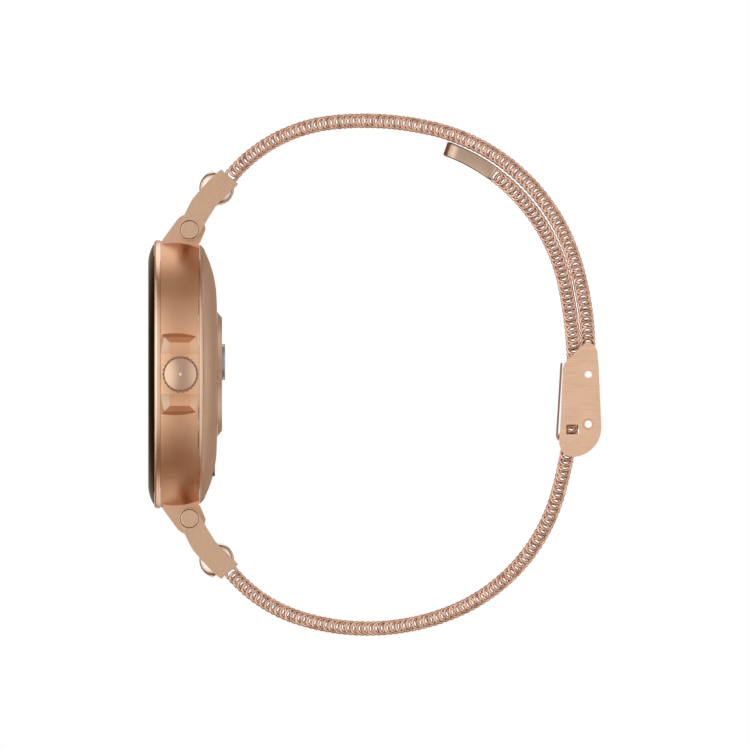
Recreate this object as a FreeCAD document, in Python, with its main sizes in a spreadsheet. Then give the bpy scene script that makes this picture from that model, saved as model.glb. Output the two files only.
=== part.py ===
import FreeCAD, Part
import math
import os

import Sketcher

# A round smartwatch on a closed woven-steel band.
# Frame: the origin is the middle of the sensor island's flat back face. The dial looks along -Y,
# twelve o'clock is +Z, and the crown stands out along +X. Millimetres.

doc = FreeCAD.newDocument("Smartwatch")
sheet = doc.addObject("Spreadsheet::Sheet", "Sizes")


class Size:
    """A number together with the spreadsheet formula that gives it."""

    def __init__(self, text, value):
        self.text = text
        self.value = float(value)

    def combined(self, other, sign, result):
        return Size("({} {} {})".format(self.text, sign, other.text), result)

    def __add__(self, other):
        other = as_size(other)
        return self.combined(other, "+", self.value + other.value)

    def __sub__(self, other):
        other = as_size(other)
        return self.combined(other, "-", self.value - other.value)

    def __mul__(self, other):
        other = as_size(other)
        return self.combined(other, "*", self.value * other.value)

    def __truediv__(self, other):
        other = as_size(other)
        return self.combined(other, "/", self.value / other.value)

    def __radd__(self, other):
        return as_size(other) + self

    def __rsub__(self, other):
        return as_size(other) - self

    def __rmul__(self, other):
        return as_size(other) * self

    def __neg__(self):
        return as_size(0) - self


def as_size(value):
    return value if isinstance(value, Size) else Size(repr(float(value)), value)


class Sizes:
    """Reads a driving dimension by its alias."""

    def __init__(self, values):
        for row, (alias, value) in enumerate(values.items(), start=1):
            sheet.set("A{}".format(row), alias)
            sheet.set("B{}".format(row), str(value))
            sheet.setAlias("B{}".format(row), alias)
            setattr(self, alias, Size("Sizes." + alias, value))


# Driving dimensions. A "depth" is measured forward from the sensor island's flat face (Y = -depth).
d = Sizes({
    # case
    "glass_front_depth": 11.0,
    "glass_edge_depth": 10.25,
    "bezel_front_depth": 10.1,
    "case_front_depth": 9.2,
    "case_back_depth": 3.4,
    "back_flat_depth": 0.74,
    "glass_radius": 19.3,
    "glass_flat_radius": 16.7,
    "glass_boss_radius": 17.6,
    "bezel_radius": 19.95,
    "case_front_radius": 19.8,
    "case_back_radius": 19.4,
    "case_barrel_radius": 9.0,
    "front_bore_radius": 17.9,
    "cavity_radius": 17.2,
    "ledge_radius": 16.2,
    "ledge_front_depth": 8.8,
    "ledge_back_depth": 8.2,
    "edge_softening": 0.2,
    "seam": 0.03,
    "press_gap": 0.01,
    "through_cut": 1.0,
    "glass_bow": 6.2,
    "glass_back_depth": 9.6,
    "glass_fit": 0.1,
    "bezel_round": 0.45,
    "gasket_front_depth": 9.15,
    "gasket_inner_radius": 17.05,
    "display_front_depth": 9.58,
    "frame_inner_radius": 15.2,
    "frame_skirt_radius": 15.9,
    "frame_front_depth": 8.15,
    "frame_step_depth": 7.5,
    "frame_back_depth": 4.6,
    "frame_gap_half": 3.4,
    "frame_gap_back_depth": 2.9,
    "display_radius": 16.9,
    # electronics, each from its front face's depth
    "board_front_depth": 8.05,
    "board_sheet": 0.8,
    "board_half_width": 11.5,
    "board_half_height": 9.16,
    "board_round": 14.7,
    "shield_corner_x": -9.5,
    "shield_corner_z": -4.5,
    "shield_front_depth": 7.2,
    "shield_width": 12.0,
    "shield_sheet": 0.9,
    "shield_height": 9.5,
    "battery_corner_x": -11.0,
    "battery_corner_z": -10.5,
    "inner_front_depth": 6.1,
    "battery_width": 16.0,
    "battery_sheet": 2.9,
    "battery_height": 21.0,
    "motor_centre_x": 9.5,
    "motor_centre_z": -8.0,
    "motor_radius": 3.0,
    "motor_length": 2.5,
    "motor_chamfer": 0.2,
    "sensor_board_radius": 6.9,
    "sensor_board_front_depth": 2.95,
    "sensor_board_back_depth": 2.2,
    # back and sensors
    "back_sheet": 0.85,
    "back_plug_radius": 17.1,
    "back_plug_inner_radius": 15.9,
    "back_plug_depth": 4.3,
    "back_bow_radius": 11.0,
    "back_rim_radius": 18.2,
    "back_rim_depth": 2.5,
    "back_plug_step": 0.17,
    "back_inside_rise": 0.1,
    "back_outside_rise": 0.06,
    "back_inside_bow": 16.0,
    "back_corner_bow": 1.7,
    "back_rim_bow": 17.0,
    "back_face_bow": 60.0,
    "back_rim_step": 0.1,
    "island_floor_depth": 2.0,
    "island_inner_radius": 6.0,
    "island_sheet": 1.1,
    "lens_root_depth": 1.3,
    "lens_round": 0.12,
    "island_base_radius": 9.3,
    "island_face_radius": 8.4,
    "island_boss_radius": 7.4,
    "lens_radius": 2.68,
    "lens_height": 1.82,
    "lens_stand": 0.45,
    "contact_radius": 0.9,
    "contact_spread": 1.6,
    "contact_drop": 14.3,
    "contact_depth": 1.06,
    "contact_length": 1.6,
    # crown, its axis along X
    "crown_depth": 6.2,
    "crown_skirt_radius": 2.83,
    "crown_face_radius": 2.39,
    "crown_inside_radius": 2.15,
    "crown_bottom": 20.55,
    "crown_shoulder": 22.55,
    "crown_top": 23.0,
    "crown_wall": 0.4,
    "flute_radius": 0.3,
    "flute_count": 24,
    "crown_softening": 0.25,
    "crown_face_bow": 6.6,
    "crown_groove": 0.12,
    "crown_lip": 0.1,
    "flute_stand": 0.11,
    "flute_overrun": 0.2,
    "stem_radius": 0.75,
    "stem_inner_end": 13.0,
    "tube_outer_radius": 1.3,
    "tube_inner_radius": 1.1,
    "tube_inner_end": 16.2,
    "tube_outer_end": 21.3,
    "tube_flange": 0.25,
    "tube_flange_length": 0.6,
    "clip_groove_start": 0.2,
    "clip_groove_end": 0.6,
    "clip_groove_radius": 0.5,
    "clip_start": 0.25,
    "clip_end": 0.55,
    "clip_inner_radius": 0.52,
    "clip_outer_radius": 1.25,
    "stem_land_start": 0.6,
    "seal_groove_start": 1.6,
    "seal_groove_end": 2.2,
    "stem_land_end": 3.4,
    "seal_groove_radius": 0.55,
    "seal_ring_radius": 0.82,
    "seal_wire_radius": 0.25,
    "stem_running_gap": 0.05,
    "slider_start": 0.65,
    "slider_end": 1.9,
    "slider_radius": 1.7,
    "slider_gap": 0.06,
    "switch_box_start": 11.3,
    "switch_box_length": 0.95,
    "switch_box_half_width": 1.0,
    "switch_box_half_height": 1.6,
    "switch_button_start": 12.2,
    "switch_button_length": 0.4,
    "switch_button_radius": 0.7,
    "switch_button_top": 0.6,
    "switch_button_chamfer": 0.05,
    "spring_start": 20.7,
    "spring_rise": 0.22,
    "spring_sheet": 0.1,
    "spring_outer_radius": 1.95,
    "spring_inner_radius": 1.45,
    "recess_floor": 17.75,
    "recess_half_width": 1.49,
    "recess_depth_middle": 6.3,
    "recess_end": 4.72,
    "block_half_height": 2.97,
    "recess_reach": 20.5,
    # lugs and links
    "lug_width": 9.0,
    "lug_root_z": 17.6,
    "lug_back_foot_y": -3.45,
    "lug_back_foot_z": 19.45,
    "lug_neck_y": -3.25,
    "lug_neck_z": 19.62,
    "lug_front_foot_y": -8.86,
    "lug_front_foot_z": 20.03,
    "lug_lean": 141.2,
    "pin_depth": 4.84,
    "pin_height": 21.5,
    "eye_radius": 2.38,
    "pin_radius": 0.75,
    "pin_clearance": 0.05,
    "pin_head_radius": 1.37,
    "pin_head_length": 0.7,
    "pin_head_gap": 0.04,
    "pin_head_stand": 0.02,
    "pin_head_chamfer": 0.1,
    "cheek_gap_width": 9.4,
    "link_width": 18.0,
    "link_gap_front_y": -9.0,
    "link_gap_back_y": 0.5,
    "link_gap_low_z": 18.5,
    "link_gap_high_z": 28.0,
    "cheek_radius": 1.6,
    "cheek_lean": 29.5,
    "link_back_waist_y": -0.79,
    "link_back_waist_z": 25.2,
    "link_back_lip_y": 1.73,
    "link_back_lip_z": 27.6,
    "link_end_back_y": 2.38,
    "link_end_back_z": 28.3,
    "link_mouth_back_y": 1.97,
    "link_mouth_back_z": 28.8,
    "link_mouth_front_y": 0.49,
    "link_mouth_front_z": 29.9,
    "link_end_front_y": -0.09,
    "link_end_front_z": 30.5,
    "link_front_lip_y": -0.89,
    "link_front_lip_z": 29.9,
    "link_front_waist_y": -4.41,
    "link_front_waist_z": 26.1,
    "link_back_hollow": 40.0,
    "link_back_bow": 60.0,
    "link_front_bow": 40.0,
    "link_front_foot_bow": 30.0,
    "bead_depth": 0.79,
    "bead_height": 27.7,
    "bead_radius": 2.59,
    "bead_width": 9.0,
    "bead_round": 1.1,
    "bead_gap": 0.08,
    "bead_reach": 3.2,
    "bead_flat": 1.62,
    "bead_pin_radius": 0.6,
    "bead_pin_length": 16.4,
    "bead_bore_gap": 0.02,
    # woven band: a chain of tangent arcs each side
    "band_width": 18.0,
    "band_sheet": 2.1,
    "band_start_depth": 1.23,
    "band_start_height": 29.35,
    "band_heading": 50.4,
    "upper_arc_one": 22.8,
    "upper_turn_one": 44.1,
    "upper_arc_two": 44.5,
    "upper_turn_two": 19.9,
    "upper_arc_three": 28.9,
    "upper_turn_three": 59.1,
    "upper_arc_four": 46.0,
    "upper_turn_four": 15.2,
    "lower_arc_one": 22.0,
    "lower_turn_one": 32.6,
    "lower_arc_two": 33.5,
    "lower_turn_two": 39.9,
    "lower_arc_three": 26.8,
    "lower_turn_three": 52.2,
    "lower_arc_four": 65.7,
    "lower_turn_four": 27.3,
    "lower_arc_five": 27.6,
    "lower_turn_five": 59.0,
    "flex_gap": 0.1,
    "band_end_gap": 0.05,
    "tip_gap": 0.02,
    "tip_length": 8.3,
    "tip_sheet": 2.2,
    "tip_width": 18.3,
    # clasp
    "clasp_pin_inset": 54.55,
    "latch_height": -0.04,
    "hinge_height": -7.45,
    "tube_bore_radius": 0.52,
    "latch_tube_radius": 0.72,
    "hinge_tube_radius": 0.75,
    "cover_width": 20.8,
    "cover_inner_width": 19.4,
    "cover_wall": 0.35,
    "base_width": 19.1,
    "base_inner_width": 18.3,
    "web_inset": 53.58,
    "web_sheet": 0.2,
    "window_inset": 52.22,
    "window_height": -8.23,
    "window_wide": 1.85,
    "window_high": 1.38,
    "cover_toe_y": 50.2,
    "cover_toe_z": -10.4,
    "cover_toe_low_y": 50.55,
    "cover_toe_low_z": -11.4,
    "cover_toe_round": 1.9,
    "cover_heel_low_y": 52.4,
    "cover_heel_low_z": -12.3,
    "cover_heel_round": 4.4,
    "cover_heel_y": 56.5,
    "cover_heel_z": -7.8,
    "cover_back_y": 56.1,
    "cover_back_z": 1.0,
    "cover_shoulder_y": 55.9,
    "cover_shoulder_z": 3.4,
    "cover_shoulder_round": 1.9,
    "cover_crest_y": 54.3,
    "cover_crest_z": 4.85,
    "cover_slope_y": 51.6,
    "cover_slope_z": 2.3,
    "cover_front_y": 50.9,
    "cover_front_z": 1.5,
    "base_toe_y": 50.55,
    "base_toe_z": -10.6,
    "base_belly_y": 53.1,
    "base_belly_z": -10.3,
    "base_hinge_round": 1.45,
    "base_back_y": 55.55,
    "base_back_z": 1.6,
    "base_top_y": 51.25,
    "base_top_z": 1.6,
    "base_lip_y": 50.75,
    "base_lip_z": 1.0,
    "base_front_y": 50.35,
    "base_front_z": -8.6,
    "base_nose_y": 49.72,
    "base_nose_z": -9.35,
    "base_nose_round": 0.5,
    "base_chin_y": 50.3,
    "base_chin_z": -9.9,
    "base_window_z": -6.3,
    "base_hinge_front": 0.8,
    "base_hinge_below": 1.2,
    "base_cut_overrun": 0.5,
    "lock_pin_inset": 50.2,
    "lock_pin_height": -9.35,
    "lock_pin_radius": 0.3,
    "lock_barrel_radius": 0.48,
    "lock_width": 17.6,
    "lock_foot_y": 49.72,
    "lock_foot_z": -9.35,
    "lock_heel_y": 50.02,
    "lock_heel_z": -9.2,
    "lock_top_back_y": 50.7,
    "lock_top_front_y": 50.4,
    "lock_top_z": 1.67,
    "hook_width": 16.0,
    "hook_sheet": 0.3,
    "hook_clearance": 0.1,
    "hook_wrap": 56.0,
    "hook_lean": 0.35,
    "hook_top_z": 4.95,
})

parts = []


# ---------------------------------------------------------------- modelling helpers

def new_body(label):
    """A body whose label names the sub-part."""
    body = doc.addObject("PartDesign::Body", "Body_" + label)
    body.Label = label
    parts.append(body)
    return body


def bind(thing, name, size):
    thing.setExpression(name, as_size(size).text)


def place(body, x=0, y=0, z=0):
    for axis, size in (("x", x), ("y", y), ("z", z)):
        if isinstance(size, Size):
            bind(body, "Placement.Base." + axis, size)


def at(name, *radius):
    """A named point of a side outline, with the radius of the arc that leads on from it, if any."""
    return (getattr(d, name + "_y"), getattr(d, name + "_z")) + radius


def sketch_on(body, plane, lift=None):
    """An empty sketch on one of the body's own origin planes, lifted along the plane's normal."""
    sketch = body.newObject("Sketcher::SketchObject", body.Label + "_sketch")
    support = [o for o in body.Origin.OriginFeatures if o.Role == plane + "_Plane"][0]
    sketch.AttachmentSupport = [(support, "")]
    sketch.MapMode = "FlatFace"
    if lift is not None:
        bind(sketch, "AttachmentOffset.Base.z", lift)
    return sketch


def pin_point(sketch, geometry, end, x, y):
    """Holds one end of a line or arc at x, y from the sketch's origin."""
    for kind, size in (("DistanceX", x), ("DistanceY", y)):
        size = as_size(size)
        row = sketch.addConstraint(Sketcher.Constraint(kind, geometry, end, size.value))
        bind(sketch, "Constraints[{}]".format(row), size)


def arc_centre(a, b, radius):
    """The centre of the short arc from a to b: left of the way for a positive radius."""
    half = (b - a) * 0.5
    rise = math.sqrt(max(radius * radius - half.Length ** 2, 0.0))
    left = FreeCAD.Vector(-half.y, half.x, 0).normalize()
    return a + half + left * math.copysign(rise, radius)


def draw_outline(sketch, corners):
    """A closed outline. A corner is (x, y), or (x, y, radius) when an arc leads on from it:
    a positive radius turns left along the way, a negative one turns right."""
    points = [FreeCAD.Vector(as_size(c[0]).value, as_size(c[1]).value, 0) for c in corners]
    ends = []
    for i, corner in enumerate(corners):
        a = points[i]
        b = points[(i + 1) % len(points)]
        if len(corner) == 2:
            ends.append((sketch.addGeometry(Part.LineSegment(a, b)), 1, 2))
            continue
        radius = as_size(corner[2])
        centre = arc_centre(a, b, radius.value)
        circle = Part.Circle(centre, FreeCAD.Vector(0, 0, 1), abs(radius.value))
        start, stop = (a, b) if radius.value > 0 else (b, a)
        angles = [math.atan2(p.y - centre.y, p.x - centre.x) for p in (start, stop)]
        arc = sketch.addGeometry(Part.ArcOfCircle(circle, angles[0], angles[1]))
        ends.append((arc, 1, 2) if radius.value > 0 else (arc, 2, 1))
        row = sketch.addConstraint(Sketcher.Constraint("Radius", arc, abs(radius.value)))
        bind(sketch, "Constraints[{}]".format(row), radius if radius.value > 0 else -radius)
    for i, (geometry, first, last) in enumerate(ends):
        following, start, _ = ends[(i + 1) % len(ends)]
        sketch.addConstraint(Sketcher.Constraint("Coincident", geometry, last, following, start))
        pin_point(sketch, geometry, first, corners[i][0], corners[i][1])
    return sketch


def draw_circle(sketch, x, y, radius):
    """A circle held by its centre and radius."""
    centre = FreeCAD.Vector(as_size(x).value, as_size(y).value, 0)
    circle = sketch.addGeometry(
        Part.Circle(centre, FreeCAD.Vector(0, 0, 1), as_size(radius).value))
    row = sketch.addConstraint(Sketcher.Constraint("Radius", circle, as_size(radius).value))
    bind(sketch, "Constraints[{}]".format(row), radius)
    pin_point(sketch, circle, 3, x, y)
    return sketch


def revolve(body, axis, corners, cut=False):
    """Turns an outline in the XY plane about the body's X ("H") or Y ("V") axis."""
    sketch = draw_outline(sketch_on(body, "XY"), corners)
    kind = "PartDesign::Groove" if cut else "PartDesign::Revolution"
    feature = body.newObject(kind, body.Label + "_turned")
    feature.Profile = sketch
    feature.ReferenceAxis = (sketch, [axis + "_Axis"])
    feature.Angle = 360
    return feature


def thicken(body, sketch, length, cut=False, symmetric=True, backward=False):
    """Pads or pockets a sketch, by default half to each side of its plane."""
    kind = "PartDesign::Pocket" if cut else "PartDesign::Pad"
    feature = body.newObject(kind, body.Label + ("_cut" if cut else "_pad"))
    feature.Profile = sketch
    bind(feature, "Length", length)
    if symmetric:
        feature.SideType = "Symmetric"
    feature.Reversed = backward
    return feature


def mirror_in_z(body, features):
    """Repeats features on the other side of the XY plane."""
    feature = body.newObject("PartDesign::Mirrored", body.Label + "_mirrored")
    feature.Originals = features
    support = [o for o in body.Origin.OriginFeatures if o.Role == "XY_Plane"][0]
    feature.MirrorPlane = (support, [""])
    body.Tip = feature
    return feature


def turned_about_x(label, corners, y, z):
    """A turned piece whose own X axis lies at y, z."""
    body = new_body(label)
    revolve(body, "H", corners)
    place(body, y=y, z=z)
    return body


def disc(label, radius, front, back, inner=0):
    """A flat disc or ring about the Y axis between two depths."""
    body = new_body(label)
    revolve(body, "V", [(inner, -front), (radius, -front), (radius, -back), (inner, -back)])
    return body


def block(label, corner, lengths):
    """A plain box from its lowest corner."""
    box = doc.addObject("Part::Box", "Box_" + label)
    box.Label = label
    for name, size in zip(("Length", "Width", "Height"), lengths):
        bind(box, name, size)
    for axis, size in zip("xyz", corner):
        bind(box, "Placement.Base." + axis, size)
    parts.append(box)
    return box


# ---------------------------------------------------------------- case

def cover_glass():
    body = new_body("cover_glass")
    rim = d.bezel_front_depth + d.seam
    revolve(body, "V", [
        (0, -d.glass_front_depth),
        (d.glass_flat_radius, -d.glass_front_depth, d.glass_bow),
        (d.glass_radius, -d.glass_edge_depth),
        (d.glass_radius, -rim),
        (d.glass_boss_radius, -rim),
        (d.glass_boss_radius, -d.glass_back_depth),
        (0, -d.glass_back_depth),
    ])


def bezel_ring():
    body = new_body("bezel_ring")
    inner = d.glass_boss_radius + d.glass_fit
    seat = d.case_front_depth + d.seam
    revolve(body, "V", [
        (inner, -d.bezel_front_depth),
        (d.bezel_radius - d.bezel_round, -d.bezel_front_depth, d.bezel_round),
        (d.bezel_radius, -(d.bezel_front_depth - d.bezel_round)),
        (d.bezel_radius, -seat),
        (inner, -seat),
    ])


def mid_case():
    """The turned middle with its lugs, pin bores, crown recess and crown bore."""
    body = new_body("mid_case")
    soft = d.edge_softening
    revolve(body, "V", [
        (d.case_front_radius, -d.case_front_depth, d.case_barrel_radius),
        (d.case_back_radius, -(d.case_back_depth + soft), soft),
        (d.case_back_radius - soft, -d.case_back_depth),
        (d.cavity_radius, -d.case_back_depth),
        (d.cavity_radius, -d.ledge_back_depth),
        (d.ledge_radius, -d.ledge_back_depth),
        (d.ledge_radius, -d.ledge_front_depth),
        (d.front_bore_radius, -d.ledge_front_depth),
        (d.front_bore_radius, -d.case_front_depth),
    ])
    lean = math.radians(d.lug_lean.value)
    sketch = draw_outline(sketch_on(body, "YZ"), [
        (d.seam - d.ledge_front_depth, d.lug_root_z),
        (d.lug_back_foot_y, d.lug_root_z),
        at("lug_back_foot"),
        at("lug_neck"),
        (d.eye_radius - d.pin_depth, d.pin_height, d.eye_radius),
        (d.eye_radius * math.cos(lean) - d.pin_depth, d.pin_height + d.eye_radius * math.sin(lean)),
        at("lug_front_foot"),
    ])
    lug = thicken(body, sketch, d.lug_width)
    bore = thicken(body, draw_circle(
        sketch_on(body, "YZ"), -d.pin_depth, d.pin_height, d.pin_radius + d.pin_clearance,
    ), d.lug_width + d.through_cut, cut=True)
    mirror_in_z(body, [lug, bore])
    crown_recess(body)


def crown_recess(body):
    """Two mitred troughs, above and below the crown, with faces at 45 degrees, and the bore for its tube."""
    recess = body.newObject("PartDesign::SubtractiveLoft", "crown_recess")
    levels = []
    for reach in (d.recess_floor, d.recess_reach):
        grown = reach - d.recess_floor
        side = d.recess_half_width + grown
        levels.append(draw_outline(sketch_on(body, "YZ", lift=reach), [
            (-d.recess_depth_middle - side, d.block_half_height),
            (side - d.recess_depth_middle, d.block_half_height),
            (side - d.recess_depth_middle, d.recess_end + grown),
            (-d.recess_depth_middle - side, d.recess_end + grown),
        ]))
    recess.Profile = levels[0]
    recess.Sections = [levels[1]]
    mirror_in_z(body, [recess])
    bore_through(body, draw_circle(
        sketch_on(body, "YZ"), -d.crown_depth, 0, d.tube_outer_radius))


def bore_through(body, sketch):
    """Cuts from the middle out through the crown's side."""
    thicken(body, sketch, d.crown_top, cut=True, symmetric=False, backward=True)


def display_stack():
    ledge = d.ledge_front_depth + d.seam
    disc("front_gasket", d.front_bore_radius - d.seam, d.gasket_front_depth, ledge,
         d.gasket_inner_radius)
    disc("display_panel", d.display_radius, d.display_front_depth, ledge)


def inner_frame():
    """Plastic chassis ring, open where the crown's parts pass."""
    body = new_body("inner_frame")
    outer = d.cavity_radius - d.glass_fit
    revolve(body, "V", [
        (d.frame_inner_radius, -d.frame_front_depth),
        (outer, -d.frame_front_depth),
        (outer, -d.frame_back_depth),
        (d.frame_skirt_radius, -d.frame_back_depth),
        (d.frame_skirt_radius, -d.frame_step_depth),
        (d.frame_inner_radius, -d.frame_step_depth),
    ])
    gap = d.frame_gap_half
    front = -d.ledge_front_depth
    back = -d.frame_gap_back_depth
    bore_through(body, draw_outline(sketch_on(body, "YZ"), [
        (front, -gap), (back, -gap), (back, gap), (front, gap),
    ]))


def electronics():
    board = new_body("main_board")
    wide = d.board_half_width
    high = d.board_half_height
    thicken(board, draw_outline(sketch_on(board, "XZ", lift=d.board_front_depth - d.board_sheet), [
        (wide, high, d.board_round),
        (-wide, high, d.board_round),
        (-wide, -high, d.board_round),
        (wide, -high),
    ]), d.board_sheet, symmetric=False)
    block("board_shield", (d.shield_corner_x, -d.shield_front_depth, d.shield_corner_z),
          (d.shield_width, d.shield_sheet, d.shield_height))
    block("battery", (d.battery_corner_x, -d.inner_front_depth, d.battery_corner_z),
          (d.battery_width, d.battery_sheet, d.battery_height))
    motor = new_body("vibration_motor")
    rim = d.motor_radius - d.motor_chamfer
    revolve(motor, "V", [
        (0, 0),
        (rim, 0),
        (d.motor_radius, d.motor_chamfer),
        (d.motor_radius, d.motor_length - d.motor_chamfer),
        (rim, d.motor_length),
        (0, d.motor_length),
    ])
    place(motor, d.motor_centre_x, -d.inner_front_depth, d.motor_centre_z)
    disc("sensor_board", d.sensor_board_radius, d.sensor_board_front_depth,
         d.sensor_board_back_depth)


def case_back():
    """The dished cover with its plug ring, the round sensor island, the lens and the contacts."""
    back = new_body("back_cover")
    hole = d.island_boss_radius + d.glass_fit / 2
    seam = d.case_back_depth - d.seam
    inside = d.back_flat_depth + d.back_sheet
    revolve(back, "V", [
        (hole, -inside),
        (d.back_bow_radius, -(inside + d.back_inside_rise), -d.back_inside_bow),
        (d.back_plug_inner_radius, -(seam - d.back_plug_step)),
        (d.back_plug_inner_radius, -d.back_plug_depth),
        (d.back_plug_radius, -d.back_plug_depth),
        (d.back_plug_radius, -seam),
        (d.case_back_radius - d.back_rim_step, -seam, d.back_corner_bow),
        (d.back_rim_radius, -d.back_rim_depth, d.back_rim_bow),
        (d.back_bow_radius, -(d.back_flat_depth + d.back_outside_rise), d.back_face_bow),
        (hole, -d.back_flat_depth),
    ])
    hole_sketch = sketch_on(back, "XZ")
    for side in (-1, 1):
        draw_circle(hole_sketch, d.contact_spread * side, -d.contact_drop, d.contact_radius + d.seam)
    thicken(back, hole_sketch, d.glass_front_depth, cut=True)
    disc("back_gasket", d.cavity_radius - d.seam, d.frame_back_depth - d.seam,
         d.back_plug_depth + d.seam, d.back_plug_inner_radius)

    island = new_body("sensor_ring")
    under = d.back_flat_depth - d.seam
    revolve(island, "V", [
        (d.island_inner_radius, -d.island_floor_depth),
        (d.island_boss_radius, -d.island_floor_depth),
        (d.island_boss_radius, -under),
        (d.island_base_radius, -under),
        (d.island_face_radius, 0),
        (0, 0),
        (0, -d.island_sheet),
        (d.island_inner_radius, -d.island_sheet),
    ])
    thicken(island, draw_circle(
        sketch_on(island, "XZ"), 0, d.lens_height, d.lens_radius + d.seam,
    ), d.island_floor_depth * 2, cut=True)

    lens = new_body("sensor_lens")
    revolve(lens, "V", [
        (0, -d.lens_root_depth),
        (d.lens_radius, -d.lens_root_depth),
        (d.lens_radius, d.lens_stand - d.lens_round, d.lens_round),
        (d.lens_radius - d.lens_round, d.lens_stand),
        (0, d.lens_stand),
    ])
    place(lens, z=d.lens_height)

    contacts = new_body("charging_contacts")
    pair = sketch_on(contacts, "XZ", lift=d.contact_depth)
    for side in (-1, 1):
        draw_circle(pair, d.contact_spread * side, -d.contact_drop, d.contact_radius)
    thicken(contacts, pair, d.contact_length, symmetric=False)


# ---------------------------------------------------------------- crown

def crown():
    """The fluted cap on its stem, the bush that guides it, and what it works on inside."""
    crown_cap()
    crown_stem()
    clip = d.stem_inner_end
    on_crown_axis("crown_clip", [
        (clip + d.clip_start, d.clip_inner_radius), (clip + d.clip_start, d.clip_outer_radius),
        (clip + d.clip_end, d.clip_outer_radius), (clip + d.clip_end, d.clip_inner_radius),
    ])
    crown_seal()
    flange = d.tube_inner_end + d.tube_flange_length
    on_crown_axis("crown_bush", [
        (d.tube_inner_end, d.tube_inner_radius),
        (d.tube_inner_end, d.tube_outer_radius + d.tube_flange),
        (flange, d.tube_outer_radius + d.tube_flange),
        (flange, d.tube_outer_radius),
        (d.tube_outer_end, d.tube_outer_radius),
        (d.tube_outer_end, d.tube_inner_radius),
    ])
    bore = d.stem_radius + d.slider_gap
    on_crown_axis("crown_slider", [
        (clip + d.slider_start, bore), (clip + d.slider_start, d.slider_radius),
        (clip + d.slider_end, d.slider_radius), (clip + d.slider_end, bore),
    ])
    crown_switch()
    crown_spring()


def on_crown_axis(label, corners):
    return turned_about_x(label, corners, -d.crown_depth, 0)


def crown_cap():
    cap = new_body("crown_cap")
    soft = d.crown_softening
    skirt = d.crown_skirt_radius
    roof = d.crown_shoulder - d.crown_wall
    revolve(cap, "H", [
        (d.crown_bottom, d.crown_inside_radius),
        (d.crown_bottom, skirt - d.crown_lip),
        (d.crown_bottom + d.crown_lip, skirt),
        (d.crown_shoulder - soft, skirt, soft),
        (d.crown_shoulder, skirt - soft),
        (d.crown_shoulder, d.crown_face_radius + d.crown_lip),
        (d.crown_shoulder - d.crown_groove, d.crown_face_radius + d.crown_lip / 2),
        (d.crown_shoulder, d.crown_face_radius, -d.crown_face_bow),
        (d.crown_top, 0),
        (roof, 0),
        (roof, d.crown_inside_radius),
    ])
    overrun = d.flute_overrun
    flute = thicken(cap, draw_circle(
        sketch_on(cap, "YZ", lift=d.crown_bottom - overrun), 0, skirt + d.flute_stand, d.flute_radius,
    ), d.crown_shoulder - d.crown_bottom + overrun * 2, cut=True, symmetric=False, backward=True)
    ring = cap.newObject("PartDesign::PolarPattern", "flutes")
    ring.Originals = [flute]
    ring.Axis = ([o for o in cap.Origin.OriginFeatures if o.Role == "X_Axis"][0], [""])
    ring.Angle = 360
    bind(ring, "Occurrences", d.flute_count)
    cap.Tip = ring
    place(cap, y=-d.crown_depth)


def crown_stem():
    """The stem, with a groove for its clip and a land, grooved for the seal, that runs in the bush."""
    running = d.tube_inner_radius - d.stem_running_gap
    tail = d.stem_inner_end
    land = d.tube_inner_end
    roof = d.crown_shoulder - d.crown_wall
    on_crown_axis("crown_stem", [
        (tail, 0),
        (tail, d.stem_radius),
        (tail + d.clip_groove_start, d.stem_radius),
        (tail + d.clip_groove_start, d.clip_groove_radius),
        (tail + d.clip_groove_end, d.clip_groove_radius),
        (tail + d.clip_groove_end, d.stem_radius),
        (land + d.stem_land_start, d.stem_radius),
        (land + d.stem_land_start, running),
        (land + d.seal_groove_start, running),
        (land + d.seal_groove_start, d.seal_groove_radius),
        (land + d.seal_groove_end, d.seal_groove_radius),
        (land + d.seal_groove_end, running),
        (land + d.stem_land_end, running),
        (land + d.stem_land_end, d.stem_radius),
        (roof, d.stem_radius),
        (roof, 0),
    ])


def crown_seal():
    """A rubber ring in the middle of the stem's seal groove."""
    seal = doc.addObject("Part::Torus", "Torus_crown_seal")
    seal.Label = "crown_seal"
    bind(seal, "Radius1", d.seal_ring_radius)
    bind(seal, "Radius2", d.seal_wire_radius)
    seal.Placement.Rotation = FreeCAD.Rotation(FreeCAD.Vector(0, 1, 0), 90)
    middle = (d.seal_groove_start + d.seal_groove_end) / 2
    bind(seal, "Placement.Base.x", d.tube_inner_end + middle)
    bind(seal, "Placement.Base.y", -d.crown_depth)
    parts.append(seal)


def crown_switch():
    """The push switch that the stem's inner end works: a box with a round button."""
    switch = new_body("crown_switch")
    start = d.switch_button_start
    end = start + d.switch_button_length
    revolve(switch, "H", [
        (start, 0),
        (start, d.switch_button_radius),
        (end - d.switch_button_chamfer, d.switch_button_radius),
        (end, d.switch_button_top),
        (end, 0),
    ])
    wide = d.switch_box_half_width
    high = d.switch_box_half_height
    thicken(switch, draw_outline(sketch_on(switch, "YZ", lift=d.switch_box_start), [
        (-wide, -high), (wide, -high), (wide, high), (-wide, high),
    ]), d.switch_box_length, symmetric=False)
    place(switch, y=-d.crown_depth)


def crown_spring():
    """The return spring around the bush, under the cap: a stack of four thin cones."""
    radii = [d.spring_outer_radius, d.spring_inner_radius] * 2 + [d.spring_outer_radius]
    zigzag = [(d.spring_start + d.spring_rise * i, radius) for i, radius in enumerate(radii)]
    back = [(x + d.spring_sheet, radius) for x, radius in reversed(zigzag)]
    on_crown_axis("crown_spring", zigzag + back)


# ---------------------------------------------------------------- links between lugs and band

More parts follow.
